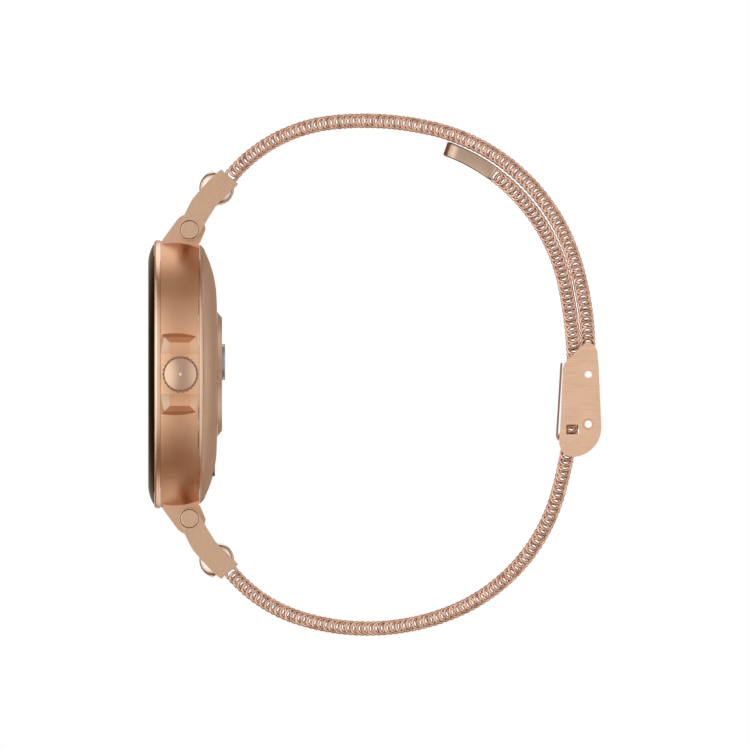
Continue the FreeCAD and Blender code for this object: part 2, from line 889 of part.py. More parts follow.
def across_band(along, half):
    """Two points either side of the band's line, a length along its heading from the bead's axis."""
    heading = math.radians(d.band_heading.value)
    ahead = (along * math.cos(heading), along * math.sin(heading))
    aside = (half * math.sin(heading), half * math.cos(heading))
    return [(ahead[0] + aside[0], ahead[1] - aside[1]), (ahead[0] - aside[0], ahead[1] + aside[1])]


def link_outline(sign):
    """The cheek's side outline, from the foot of its round end, anticlockwise for the upper one."""
    lean = math.radians(d.cheek_lean.value)
    r = d.cheek_radius
    out = r * math.cos(lean)
    low = r * math.sin(lean)
    corners = [
        (-d.pin_depth - out, d.pin_height + low, r),
        (-d.pin_depth, d.pin_height - r, r),
        (out - d.pin_depth, d.pin_height - low, -d.link_back_hollow),
        at("link_back_waist", -d.link_back_bow),
        at("link_back_lip"),
        at("link_end_back"),
        at("link_mouth_back"),
        at("link_mouth_front"),
        at("link_end_front"),
        at("link_front_lip", d.link_front_bow),
        at("link_front_waist", d.link_front_foot_bow),
    ]
    return [(c[0], c[1] * sign) + tuple(radius * sign for radius in c[2:]) for c in corners]


def connector(side, sign):
    """One end link with the two pieces that cross it."""
    end_link(side, sign)
    lug_pin(side, sign)
    bead(side, sign)


def end_link(side, sign):
    """Two cheeks joined behind the bead, with blind seats for the lug pin's heads."""
    body = new_body(side + "_link")
    thicken(body, draw_outline(sketch_on(body, "YZ"), link_outline(sign)), d.link_width)
    near = across_band((d.bead_flat + d.bead_gap).value, d.bead_reach.value)
    gap = draw_outline(sketch_on(body, "YZ"), [
        (d.link_gap_front_y, d.link_gap_low_z * sign),
        (d.link_gap_back_y, d.link_gap_low_z * sign),
        (-d.bead_depth + near[0][0], (d.bead_height + near[0][1]) * sign),
        (-d.bead_depth + near[1][0], (d.bead_height + near[1][1]) * sign),
        (d.link_gap_front_y, d.link_gap_high_z * sign),
    ])
    thicken(body, gap, d.cheek_gap_width, cut=True)
    press = d.press_gap
    for depth, height, radius, width in (
        (d.pin_depth, d.pin_height, d.pin_radius, d.link_width + d.through_cut),
        (d.bead_depth, d.bead_height, d.bead_pin_radius, d.bead_pin_length + d.pin_head_chamfer),
    ):
        hole = draw_circle(sketch_on(body, "YZ"), -depth, height * sign, radius + press)
        thicken(body, hole, width, cut=True)
    for face in (1, -1):
        seat = sketch_on(body, "YZ", lift=face * (d.link_width / 2 - d.pin_head_length))
        draw_circle(seat, -d.pin_depth, d.pin_height * sign, d.pin_head_radius + d.pin_head_gap)
        thicken(body, seat, d.through_cut * 2, cut=True, symmetric=False, backward=face > 0)


def lug_pin(side, sign):
    half = d.link_width / 2 + d.pin_head_stand
    head = half - d.pin_head_length + d.pin_head_gap
    edge = d.pin_head_chamfer
    turned_about_x(side + "_lug_pin", [
        (-half, 0), (-half, d.pin_head_radius - edge), (-(half - edge), d.pin_head_radius),
        (-head, d.pin_head_radius), (-head, d.pin_radius),
        (head, d.pin_radius), (head, d.pin_head_radius),
        (half - edge, d.pin_head_radius), (half, d.pin_head_radius - edge), (half, 0),
    ], -d.pin_depth, d.pin_height * sign)


def bead(side, sign):
    """The round-ended roller between the cheeks, flattened towards the band, and its pin."""
    half = d.bead_width / 2
    soft = d.bead_round
    bore = d.bead_pin_radius + d.bead_bore_gap
    roller = turned_about_x(side + "_bead", [
        (-half, bore),
        (-half, d.bead_radius - soft, -soft),
        (-half + soft, d.bead_radius),
        (half - soft, d.bead_radius, -soft),
        (half, d.bead_radius - soft),
        (half, bore),
    ], -d.bead_depth, d.bead_height * sign)
    reach = d.bead_reach.value
    flat = across_band(d.bead_flat.value, reach) + across_band(2 * reach, reach)[::-1]
    flat_side = draw_outline(sketch_on(roller, "YZ"), [(y, z * sign) for y, z in flat])
    thicken(roller, flat_side, d.bead_width + d.through_cut, cut=True)
    end = d.bead_pin_length / 2
    turned_about_x(side + "_bead_pin", [
        (-end, 0), (-end, d.bead_pin_radius), (end, d.bead_pin_radius), (end, 0),
    ], -d.bead_depth, d.bead_height * sign)


# ---------------------------------------------------------------- band

def band_path(stretches, sign):
    """The band's centre line in the YZ plane as arcs: (centre, radius, start angle, turn), with
    sign -1 for the upper half, which turns clockwise, and +1 for the lower half."""
    heading = math.radians(-sign * d.band_heading.value)
    point = FreeCAD.Vector(0, d.band_start_depth.value, -sign * d.band_start_height.value)
    arcs = []
    for radius, turn in stretches:
        side = FreeCAD.Vector(0, -math.sin(heading), math.cos(heading)) * (sign * radius.value)
        centre = point + side
        start = heading - sign * math.pi / 2
        arcs.append((centre, radius.value, start, sign * math.radians(turn.value)))
        heading += sign * math.radians(turn.value)
        outward = heading - sign * math.pi / 2
        point = centre + FreeCAD.Vector(0, math.cos(outward), math.sin(outward)) * radius.value
    return arcs


def stretch_of(arcs, start, stop):
    """The part of a path between two lengths along it."""
    piece = []
    passed = 0.0
    for centre, radius, angle, turn in arcs:
        length = radius * abs(turn)
        low = max(start - passed, 0.0)
        high = min(stop - passed, length)
        if high > low:
            way = math.copysign(1, turn)
            piece.append((centre, radius, angle + way * low / radius, way * (high - low) / radius))
        passed += length
    return piece


def path_length(arcs):
    return sum(radius * abs(turn) for _, radius, _, turn in arcs)


def path_point(arcs, along, offset=0.0):
    """A point on the path, moved outward from the loop's inside by offset."""
    centre, radius, angle, turn = stretch_of(arcs, 0.0, along)[-1]
    end = angle + turn
    return centre + FreeCAD.Vector(0, math.cos(end), math.sin(end)) * (radius + offset)


def ribbon(label, arcs, sheet_size, width):
    """A flat band of the given thickness and width that follows the arcs."""
    half = sheet_size.value / 2
    edge = FreeCAD.Vector(-width.value / 2, 0, 0)

    def arc_edge(arc, offset):
        centre, radius, angle, turn = arc
        points = []
        for share in (0.0, 0.5, 1.0):
            bearing = angle + turn * share
            way = FreeCAD.Vector(0, math.cos(bearing), math.sin(bearing))
            points.append(centre + edge + way * (radius + offset))
        return Part.Arc(*points).toShape(), points[0], points[2]

    outer = [arc_edge(arc, half) for arc in arcs]
    inner = [arc_edge(arc, -half) for arc in arcs]
    edges = [e for e, _, _ in outer] + [e for e, _, _ in inner]
    edges.append(Part.LineSegment(outer[0][1], inner[0][1]).toShape())
    edges.append(Part.LineSegment(outer[-1][2], inner[-1][2]).toShape())
    face = Part.Face(Part.Wire(Part.__sortEdges__(edges)))
    feature = doc.addObject("Part::Feature", "Band_" + label)
    feature.Label = label
    feature.Shape = face.extrude(FreeCAD.Vector(width.value, 0, 0))
    parts.append(feature)


UPPER = band_path([
    (d.upper_arc_one, d.upper_turn_one),
    (d.upper_arc_two, d.upper_turn_two),
    (d.upper_arc_three, d.upper_turn_three),
    (d.upper_arc_four, d.upper_turn_four),
], -1)
LOWER = band_path([
    (d.lower_arc_one, d.lower_turn_one),
    (d.lower_arc_two, d.lower_turn_two),
    (d.lower_arc_three, d.lower_turn_three),
    (d.lower_arc_four, d.lower_turn_four),
    (d.lower_arc_five, d.lower_turn_five),
], 1)


def band():
    """The upper half, parted where it bends when the clasp is undone, and the lower half, whose
    tail runs on through the clasp and lies inside the upper half."""
    flex = path_length(UPPER[:2])
    gap = d.flex_gap.value / 2
    start = d.band_end_gap.value
    ribbon("upper_band", stretch_of(UPPER, start, flex - gap), d.band_sheet, d.band_width)
    ribbon("upper_band_end", stretch_of(UPPER, flex + gap, path_length(UPPER)),
           d.band_sheet, d.band_width)
    tail = path_length(LOWER) - d.tip_length.value
    ribbon("lower_band", stretch_of(LOWER, start, tail - d.tip_gap.value), d.band_sheet,
           d.band_width)
    ribbon("band_tip", stretch_of(LOWER, tail, path_length(LOWER)), d.tip_sheet, d.tip_width)
    hinge = path_point(UPPER, flex, d.band_sheet.value / 2)
    end = path_point(UPPER, path_length(UPPER))
    print("flex hinge at", round(hinge.y, 3), round(hinge.z, 3))
    print("upper band ends at", round(end.y, 3), round(end.z, 3))


# ---------------------------------------------------------------- clasp

def tube(label, height, outer, length):
    half = length / 2
    return turned_about_x(label, [
        (-half, d.tube_bore_radius), (-half, outer), (half, outer), (half, d.tube_bore_radius),
    ], d.clasp_pin_inset, height)


def window_outline():
    low = d.window_height - d.window_high / 2
    left = d.window_inset - d.window_wide / 2
    return [
        (left, low), (left + d.window_wide, low),
        (left + d.window_wide, low + d.window_high), (left, low + d.window_high),
    ]


def clasp():
    clasp_cover()
    clasp_base()
    tube("latch_tube", d.latch_height, d.latch_tube_radius, d.base_width)
    tube("hinge_tube", d.hinge_height, d.hinge_tube_radius, d.cover_width)
    half = d.base_width / 2
    turned_about_x("lock_pin", [
        (-half, 0), (-half, d.lock_pin_radius), (half, d.lock_pin_radius), (half, 0),
    ], d.lock_pin_inset, d.lock_pin_height)
    lock_plate()
    hook_plate()


def clasp_cover():
    """The folding cover: two side walls and a back wall of bent sheet, open towards the band."""
    cover = new_body("clasp_cover")
    thicken(cover, draw_outline(sketch_on(cover, "YZ"), [
        at("cover_toe"),
        at("cover_toe_low", d.cover_toe_round),
        at("cover_heel_low", d.cover_heel_round),
        at("cover_heel"),
        at("cover_back"),
        at("cover_shoulder", d.cover_shoulder_round),
        at("cover_crest"),
        at("cover_slope"),
        at("cover_front"),
    ]), d.cover_width)
    wall = d.cover_wall
    beyond = d.through_cut * 2
    inside = d.cover_toe_y - beyond
    outside = d.cover_heel_y + beyond
    below = d.cover_heel_low_z - beyond
    above = d.cover_crest_z + beyond
    thicken(cover, draw_outline(sketch_on(cover, "YZ"), [
        (inside, below),
        (outside, below),
        (outside, d.hinge_height),
        (d.cover_heel_y - wall, d.hinge_height),
        (d.cover_back_y - wall, d.cover_back_z),
        (d.cover_shoulder_y - wall, d.cover_shoulder_z),
        (outside, d.cover_shoulder_z),
        (outside, above),
        (inside, above),
    ]), d.cover_inner_width, cut=True)
    holes = sketch_on(cover, "YZ")
    draw_circle(holes, d.clasp_pin_inset, d.latch_height, d.tube_bore_radius)
    draw_circle(holes, d.clasp_pin_inset, d.hinge_height, d.hinge_tube_radius + d.seam)
    through = d.cover_width + d.through_cut
    thicken(cover, holes, through, cut=True)
    thicken(cover, draw_outline(sketch_on(cover, "YZ"), window_outline()), through, cut=True)


def clasp_base():
    """The clamp body inside the cover: two side walls with a web that backs the band."""
    base = new_body("clasp_base")
    front = d.base_hinge_front
    low = d.base_hinge_below
    thicken(base, draw_outline(sketch_on(base, "YZ"), [
        at("base_toe"),
        at("base_belly"),
        (d.clasp_pin_inset - front, d.hinge_height - low, d.base_hinge_round),
        (d.clasp_pin_inset + low, d.hinge_height - front),
        at("base_back"),
        at("base_top"),
        at("base_lip"),
        at("base_front"),
        at("base_nose", d.base_nose_round),
        at("base_chin"),
    ]), d.base_width)
    web = d.web_inset
    beyond = d.through_cut * 2
    inside = d.base_nose_y - beyond
    outside = d.base_back_y + beyond
    below = d.base_toe_z - beyond
    above = d.base_top_z + beyond
    edge = web - d.base_cut_overrun
    thicken(base, draw_outline(sketch_on(base, "YZ"), [
        (inside, below), (web, below), (web, above), (inside, above),
    ]), d.base_inner_width, cut=True)
    thicken(base, draw_outline(sketch_on(base, "YZ"), [
        (edge, below), (outside, below), (outside, above), (web + d.web_sheet, above),
        (web + d.web_sheet, d.base_window_z), (edge, d.base_window_z),
    ]), d.base_inner_width, cut=True)
    bores = sketch_on(base, "YZ")
    draw_circle(bores, d.clasp_pin_inset, d.latch_height, d.latch_tube_radius)
    draw_circle(bores, d.clasp_pin_inset, d.hinge_height, d.hinge_tube_radius)
    draw_circle(bores, d.lock_pin_inset, d.lock_pin_height, d.lock_pin_radius)
    through = d.base_width + d.through_cut
    thicken(base, bores, through, cut=True)
    thicken(base, draw_outline(sketch_on(base, "YZ"), window_outline()), through, cut=True)


def lock_plate():
    """The thin plate on the wrist side that clamps the band, on its own small barrel."""
    body = new_body("lock_plate")
    thicken(body, draw_outline(sketch_on(body, "YZ"), [
        at("lock_foot"),
        at("lock_heel"),
        (d.lock_top_back_y, d.lock_top_z),
        (d.lock_top_front_y, d.lock_top_z),
    ]), d.lock_width)
    thicken(body, draw_circle(
        sketch_on(body, "YZ"), d.lock_pin_inset, d.lock_pin_height, d.lock_barrel_radius,
    ), d.lock_width)
    thicken(body, draw_circle(
        sketch_on(body, "YZ"), d.lock_pin_inset, d.lock_pin_height,
        d.lock_pin_radius + d.pin_clearance,
    ), d.lock_width + d.through_cut, cut=True)


def hook_plate():
    """The sheet hook on the upper band's end: a tongue that wraps the latch tube's outer side."""
    body = new_body("hook_plate")
    inner = d.latch_tube_radius + d.hook_clearance
    outer = inner + d.hook_sheet
    wrap = math.radians(d.hook_wrap.value)
    y = d.clasp_pin_inset
    z = d.latch_height
    lean = d.hook_lean
    thicken(body, draw_outline(sketch_on(body, "YZ"), [
        (y + outer, z, -outer.value),
        (y + outer * math.cos(wrap), z - outer * math.sin(wrap)),
        (y + inner * math.cos(wrap), z - inner * math.sin(wrap), inner.value),
        (y + inner, z),
        (y + inner - lean, d.hook_top_z),
        (y + outer - lean, d.hook_top_z),
    ]), d.hook_width)


# ---------------------------------------------------------------- build and write

def build():
    cover_glass()
    bezel_ring()
    mid_case()
    display_stack()
    inner_frame()
    electronics()
    case_back()
    crown()
    for side, sign in (("upper", 1), ("lower", -1)):
        connector(side, sign)
    band()
    clasp()
    doc.recompute()


def check():
    """Stops unless every object recomputed and every sub-part is a valid solid."""
    for thing in doc.Objects:
        if "Invalid" in thing.State or "Error" in thing.State:
            raise RuntimeError("{} failed: {}".format(thing.Label, thing.State))
    for part in parts:
        shape = part.Shape
        if shape.isNull() or not shape.isValid() or not shape.Solids:
            raise RuntimeError(part.Label + " is not a valid solid")


def write():
    os.makedirs("parts", exist_ok=True)
    for part in parts:
        part.Shape.exportStep("parts/{}.step".format(part.Label))
        print(part.Label, len(part.Shape.Solids), round(part.Shape.Volume, 3))


build()
check()
write()
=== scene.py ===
import math

import bmesh
import bpy
import numpy as np
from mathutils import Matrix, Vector


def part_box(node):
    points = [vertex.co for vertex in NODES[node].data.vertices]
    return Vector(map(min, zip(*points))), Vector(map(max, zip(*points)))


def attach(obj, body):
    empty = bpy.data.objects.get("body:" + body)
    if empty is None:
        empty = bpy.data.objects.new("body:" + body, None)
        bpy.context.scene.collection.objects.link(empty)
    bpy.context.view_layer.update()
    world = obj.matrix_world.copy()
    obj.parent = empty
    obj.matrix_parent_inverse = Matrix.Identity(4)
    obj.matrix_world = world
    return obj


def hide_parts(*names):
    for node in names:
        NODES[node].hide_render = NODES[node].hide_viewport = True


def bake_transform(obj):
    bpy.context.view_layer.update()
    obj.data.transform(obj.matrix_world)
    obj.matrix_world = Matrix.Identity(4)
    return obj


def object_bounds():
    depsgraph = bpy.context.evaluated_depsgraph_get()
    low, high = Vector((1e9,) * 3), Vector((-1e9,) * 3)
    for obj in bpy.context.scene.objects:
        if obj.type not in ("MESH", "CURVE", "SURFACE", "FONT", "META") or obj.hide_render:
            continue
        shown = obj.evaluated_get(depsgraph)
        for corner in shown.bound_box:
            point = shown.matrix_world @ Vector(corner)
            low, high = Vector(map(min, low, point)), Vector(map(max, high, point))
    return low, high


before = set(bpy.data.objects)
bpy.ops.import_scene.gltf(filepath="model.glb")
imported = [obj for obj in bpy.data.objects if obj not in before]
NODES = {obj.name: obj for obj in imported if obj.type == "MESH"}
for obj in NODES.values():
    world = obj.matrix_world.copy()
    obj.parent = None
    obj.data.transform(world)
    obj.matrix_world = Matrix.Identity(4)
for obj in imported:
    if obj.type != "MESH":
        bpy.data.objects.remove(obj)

# A smartwatch on a woven steel band. The CAD's pieces keep their shapes and get finished surfaces; the links,
# lug pins and clasp cover also get broken edges. The woven band and its tip are built here, where the CAD
# holds plain solids.

MM = 0.001
CAD_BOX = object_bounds()


# ---------------------------------------------------------------- shader helpers

# Where a ramp over noise starts and ends: the noise seldom leaves this range.
NOISE_LOW = 0.3
NOISE_HIGH = 0.7

# Noise scales of the metals, in features per metre.
BLOTCHES = 160
FINE_GRAIN = 9000
BRUSH_LINES = 300
SMUDGES = 420
DENTS = 900

BRUSH_STRETCH = 26.0
DENT_DEPTH = 6e-6

# Strengths of the bumps.
GRAIN_BUMP = 0.25
BRUSH_BUMP = 0.6
DENT_BUMP = 0.12
PLASTIC_BUMP = 0.3

# Where the product of two noises starts and ends.
PRODUCT_LOW = 0.1
PRODUCT_HIGH = 0.45


def tree_of(name):
    material = bpy.data.materials.new(name)
    material.use_nodes = True
    return material, material.node_tree.nodes, material.node_tree.links


def ramp(nodes, links, fac, stops):
    """Maps a value to a colour through stops of (position, colour)."""
    node = nodes.new("ShaderNodeValToRGB")
    ends = node.color_ramp.elements
    ends[0].position, ends[0].color = stops[0][0], (*stops[0][1], 1)
    ends[1].position, ends[1].color = stops[-1][0], (*stops[-1][1], 1)
    for position, colour in stops[1:-1]:
        ends.new(position).color = (*colour, 1)
    links.new(fac, node.inputs["Fac"])
    return node.outputs["Color"]


def grey(*pairs):
    """Stops for a ramp, from pairs of (position, value)."""
    return [(position, (value, value, value)) for position, value in pairs]


def calc(nodes, links, operation, *values):
    """One Math node on sockets or numbers."""
    node = nodes.new("ShaderNodeMath")
    node.operation = operation
    for socket, value in zip(node.inputs, values):
        if isinstance(value, (int, float)):
            socket.default_value = value
        else:
            links.new(value, socket)
    return node.outputs[0]


def split_of(nodes, links, vector):
    node = nodes.new("ShaderNodeSeparateXYZ")
    links.new(vector, node.inputs[0])
    return node.outputs


def away(nodes, links, a, b):
    """The length of the vector (a, b)."""
    squares = [calc(nodes, links, "MULTIPLY", value, value) for value in (a, b)]
    return calc(nodes, links, "SQRT", calc(nodes, links, "ADD", *squares))


def noise(nodes, links, vector, scale, detail=4, rough=0.6, stretch=(1, 1, 1)):
    """Noise in the piece's own coordinates, in features per metre, stretched by a factor along each axis."""
    mapping = nodes.new("ShaderNodeMapping")
    mapping.inputs["Scale"].default_value = stretch
    links.new(vector, mapping.inputs["Vector"])
    node = nodes.new("ShaderNodeTexNoise")
    node.inputs["Scale"].default_value = scale
    node.inputs["Detail"].default_value = detail
    node.inputs["Roughness"].default_value = rough
    links.new(mapping.outputs["Vector"], node.inputs["Vector"])
    return node.outputs["Fac"]


def bump(nodes, links, height, strength, distance, normal=None):
    node = nodes.new("ShaderNodeBump")
    node.inputs["Strength"].default_value = strength
    node.inputs["Distance"].default_value = distance
    links.new(height, node.inputs["Height"])
    if normal is not None:
        links.new(normal, node.inputs["Normal"])
    return node.outputs["Normal"]


def metal(name, dark, light, roughness, brushed=None, depth=4e-6, grain=1.0):
    """A plated metal: uneven tone and roughness, fine grain or brushed lines, and shallow dents. brushed is
    the axis that its lines run along, and depth is their depth, or twice the depth of the grain."""
    material, nodes, links = tree_of(name)
    shader = nodes["Principled BSDF"]
    shader.inputs["Metallic"].default_value = 1.0
    at = nodes.new("ShaderNodeTexCoord").outputs["Object"]
    if brushed is None:
        tone = noise(nodes, links, at, BLOTCHES * grain, 3)
        fine = noise(nodes, links, at, FINE_GRAIN * grain, 2)
        normal = bump(nodes, links, fine, GRAIN_BUMP, depth / 2)
    else:
        stretch = [BRUSH_STRETCH] * 3
        stretch["XYZ".index(brushed)] = 1.0
        fine = noise(nodes, links, at, BRUSH_LINES * grain, 5, 0.7, stretch)
        tone = fine
        normal = bump(nodes, links, fine, BRUSH_BUMP, depth)
    links.new(ramp(nodes, links, tone, [(NOISE_LOW, dark), (NOISE_HIGH, light)]), shader.inputs["Base Color"])
    low, high = roughness
    both = calc(nodes, links, "MULTIPLY", fine, noise(nodes, links, at, SMUDGES * grain, 4))
    gloss = ramp(nodes, links, both, grey((PRODUCT_LOW, low), (PRODUCT_HIGH, high)))
    links.new(gloss, shader.inputs["Roughness"])
    dents = noise(nodes, links, at, DENTS * grain, 2)
    links.new(bump(nodes, links, dents, DENT_BUMP, DENT_DEPTH, normal), shader.inputs["Normal"])
    return material


PLASTIC_GRAIN = 2500
PLASTIC_DEPTH = 1e-5


def plastic(name, dark, light, roughness, gloss=0.5, metallic=0.0):
    """A moulded or painted surface with cloudy tone and fine texture."""
    material, nodes, links = tree_of(name)
    shader = nodes["Principled BSDF"]
    shader.inputs["Specular IOR Level"].default_value = gloss
    shader.inputs["Metallic"].default_value = metallic
    at = nodes.new("ShaderNodeTexCoord").outputs["Object"]
    cloudy = noise(nodes, links, at, PLASTIC_GRAIN / 8, 4)
    tone = ramp(nodes, links, cloudy, [(NOISE_LOW, dark), (NOISE_HIGH, light)])
    links.new(tone, shader.inputs["Base Color"])
    fine = noise(nodes, links, at, PLASTIC_GRAIN, 3)
    low, high = roughness
    dull = ramp(nodes, links, fine, grey((NOISE_LOW, low), (NOISE_HIGH, high)))
    links.new(dull, shader.inputs["Roughness"])
    links.new(bump(nodes, links, fine, PLASTIC_BUMP, PLASTIC_DEPTH), shader.inputs["Normal"])
    return material


# ---------------------------------------------------------------- materials

CASE = metal("case_satin", (0.78, 0.485, 0.32), (0.84, 0.53, 0.355), (0.38, 0.46), depth=2e-6)
BEZEL = metal("bezel_polish", (0.93, 0.69, 0.52), (0.97, 0.74, 0.57), (0.26, 0.34), depth=1e-6)
BACK = metal("back_satin", (0.93, 0.72, 0.58), (0.99, 0.78, 0.63), (0.26, 0.38))
LINK = metal("link_satin", (0.68, 0.485, 0.35), (0.74, 0.53, 0.39), (0.28, 0.42), "Z", 3e-6)
POLISH = metal("polished_bead", (0.84, 0.72, 0.64), (0.90, 0.78, 0.70), (0.04, 0.10))
CROWN = metal("crown_polish", (0.61, 0.44, 0.33), (0.67, 0.50, 0.38), (0.12, 0.22))
WIRE = metal("woven_wire", (0.52, 0.30, 0.21), (0.95, 0.70, 0.57), (0.14, 0.26), grain=7.0)
CLASP = metal("clasp_brushed", (0.84, 0.58, 0.42), (0.99, 0.73, 0.55), (0.24, 0.42), "Y", 1.2e-5)
PLATE = metal("clasp_inner", (0.30, 0.20, 0.16), (0.38, 0.26, 0.21), (0.25, 0.40), "Z")
TIP = metal("tip_polish", (0.56, 0.44, 0.35), (0.64, 0.50, 0.40), (0.18, 0.30))
STEEL = metal("inner_steel", (0.45, 0.44, 0.43), (0.56, 0.55, 0.54), (0.22, 0.38))
# The charging contacts are coloured dark.
CONTACT = metal("contact_dark_tone", (0.20, 0.17, 0.15), (0.28, 0.24, 0.21), (0.18, 0.30))
RUBBER = plastic("seal_rubber", (0.02, 0.02, 0.02), (0.035, 0.035, 0.035), (0.55, 0.75))
BLACK_PLASTIC = plastic("moulded_black", (0.02, 0.02, 0.022), (0.04, 0.04, 0.042), (0.42, 0.6))
BOARD = plastic("green_laminate", (0.02, 0.10, 0.05), (0.03, 0.15, 0.08), (0.35, 0.5))
POUCH = plastic("battery_pouch", (0.50, 0.51, 0.53), (0.62, 0.63, 0.65), (0.3, 0.45), metallic=0.8)
LENS = plastic("sensor_window", (0.30, 0.31, 0.32), (0.40, 0.41, 0.42), (0.06, 0.14), gloss=0.8, metallic=0.6)


CASE_RADIUS = 20 * MM
GLASS_IOR = 1.3
GLASS_GLOSS = 0.12
SMEARS = 120
CLEAN_ROUGHNESS = 0.05
SMEARED_ROUGHNESS = 0.14
SMEAR_FULL = 0.75
# The display's edge, as a share of the case's radius.
DISPLAY_SHARE = 0.80
BORDER_STEP = 0.005
DISPLAY_BLACK = (0.010, 0.011, 0.013)
BORDER_BLACK = (0.0015, 0.0015, 0.0015)


def cover_glass_material():
    """Black glass: a deep border ring round a slightly lighter display area, with faint smears."""
    material, nodes, links = tree_of("cover_glass_black")
    shader = nodes["Principled BSDF"]
    shader.inputs["Specular IOR Level"].default_value = GLASS_GLOSS
    shader.inputs["IOR"].default_value = GLASS_IOR
    at = nodes.new("ShaderNodeTexCoord").outputs["Object"]
    flat = nodes.new("ShaderNodeVectorMath")
    flat.operation = "MULTIPLY"
    flat.inputs[1].default_value = (1, 0, 1)
    links.new(at, flat.inputs[0])
    size = nodes.new("ShaderNodeVectorMath")
    size.operation = "LENGTH"
    links.new(flat.outputs["Vector"], size.inputs[0])
    share = calc(nodes, links, "MULTIPLY", size.outputs["Value"], 1 / CASE_RADIUS)
    stops = [(0.0, DISPLAY_BLACK), (DISPLAY_SHARE, DISPLAY_BLACK),
             (DISPLAY_SHARE + BORDER_STEP, BORDER_BLACK), (1.0, BORDER_BLACK)]
    links.new(ramp(nodes, links, share, stops), shader.inputs["Base Color"])
    smear = noise(nodes, links, at, SMEARS, 5)
    dull = ramp(nodes, links, smear, grey((NOISE_LOW, CLEAN_ROUGHNESS), (SMEAR_FULL, SMEARED_ROUGHNESS)))
    links.new(dull, shader.inputs["Roughness"])
    return material


GLASS = cover_glass_material()


def part_tone(material, mask_of, colour):
    """Tones a material towards a colour where mask_of, given its nodes, links and position, is 1."""
    nodes, links = material.node_tree.nodes, material.node_tree.links
    socket = nodes["Principled BSDF"].inputs["Base Color"]
    under = socket.links[0].from_socket
    mix = nodes.new("ShaderNodeMix")
    mix.data_type = "RGBA"
    links.new(mask_of(nodes, links, nodes.new("ShaderNodeTexCoord").outputs["Object"]), mix.inputs["Factor"])
    links.new(under, mix.inputs["A"])
    mix.inputs["B"].default_value = (*colour, 1)
    links.new(mix.outputs["Result"], socket)


# The case's side is turned about Y. The facets beside the crown lie inside that radius, and the lugs outside.
CASE_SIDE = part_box("mid_case")[1].x
SUNK = CASE_SIDE - 0.7 * MM
PROUD = CASE_SIDE + 0.1 * MM
FACETS_FROM = 0.86 * CASE_SIDE
SLANTING = 0.9
FACING_BACK = 0.5


def case_polar(nodes, links, at):
    """The distance from the case's own axis, and the place along X."""
    place = split_of(nodes, links, at)
    return away(nodes, links, place["X"], place["Z"]), place["X"]


def facing(nodes, links):
    return split_of(nodes, links, nodes.new("ShaderNodeTexCoord").outputs["Normal"])


def crown_facets_painted_light(nodes, links, at):
    """1 on the slanting facets cut in beside the crown, inside the case's turned side, where painted light
    lightens the case's colour.
    """
    out, x = case_polar(nodes, links, at)
    slanting = calc(nodes, links, "LESS_THAN", facing(nodes, links)["X"], SLANTING)
    sunk = calc(nodes, links, "MULTIPLY", calc(nodes, links, "LESS_THAN", out, SUNK), slanting)
    return calc(nodes, links, "MULTIPLY", sunk, calc(nodes, links, "GREATER_THAN", x, FACETS_FROM))


def front_facets_painted_highlight(nodes, links, at):
    """1 on the facets that get the brightest painted light: the ones on the dial's side, which face the back.
    """
    backward = calc(nodes, links, "GREATER_THAN", facing(nodes, links)["Y"], FACING_BACK)
    return calc(nodes, links, "MULTIPLY", backward, crown_facets_painted_light(nodes, links, at))


def on_lugs(nodes, links, at):
    """1 on the lugs, which stand proud of the turned case."""
    out, _ = case_polar(nodes, links, at)
    return calc(nodes, links, "GREATER_THAN", out, PROUD)


CROWN_LOW, CROWN_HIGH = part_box("crown_cap")
CROWN_CENTRE = (CROWN_LOW + CROWN_HIGH) / 2
CROWN_RADIUS = (CROWN_HIGH.z - CROWN_LOW.z) / 2
HIGHLIGHT_DOT_RADIUS = 0.22 * MM
FLUTES = 24
FLUTES_FROM = 0.87 * CROWN_RADIUS
FLUTE_COSINE = 0.1


def crown_polar(nodes, links, at):
    """The distance from the crown's axis, and the angle about it."""
    place = split_of(nodes, links, at)
    y = calc(nodes, links, "SUBTRACT", place["Y"], CROWN_CENTRE.y)
    z = calc(nodes, links, "SUBTRACT", place["Z"], CROWN_CENTRE.z)
    return away(nodes, links, y, z), calc(nodes, links, "ARCTAN2", z, y)


def crown_dot_painted_highlight(nodes, links, at):
    """1 on the small dot in the middle of the crown, where a highlight is painted into the crown's colour."""
    out, _ = crown_polar(nodes, links, at)
    return calc(nodes, links, "LESS_THAN", out, HIGHLIGHT_DOT_RADIUS)


def crown_flutes_painted_shade(nodes, links, at):
    """1 between the teeth of the crown's rim, where shade is painted into the crown's colour."""
    out, angle = crown_polar(nodes, links, at)
    wave = calc(nodes, links, "COSINE", calc(nodes, links, "MULTIPLY", angle, FLUTES))
    rim = calc(nodes, links, "GREATER_THAN", out, FLUTES_FROM)
    return calc(nodes, links, "MULTIPLY", rim, calc(nodes, links, "GREATER_THAN", wave, FLUTE_COSINE))


part_tone(CASE, on_lugs, (0.74, 0.53, 0.39))
# Painted light: the facets beside the crown are lightened.
part_tone(CASE, crown_facets_painted_light, (0.92, 0.72, 0.56))
# Painted highlight: the facets on the dial's side are lightened further.
part_tone(CASE, front_facets_painted_highlight, (1.0, 0.95, 0.86))
# Painted shade: the gaps between the crown's flutes are darkened.
part_tone(CROWN, crown_flutes_painted_shade, (0.42, 0.27, 0.19))
# Painted highlight: a bright dot in the middle of the crown.
part_tone(CROWN, crown_dot_painted_highlight, (1.0, 0.97, 0.93))

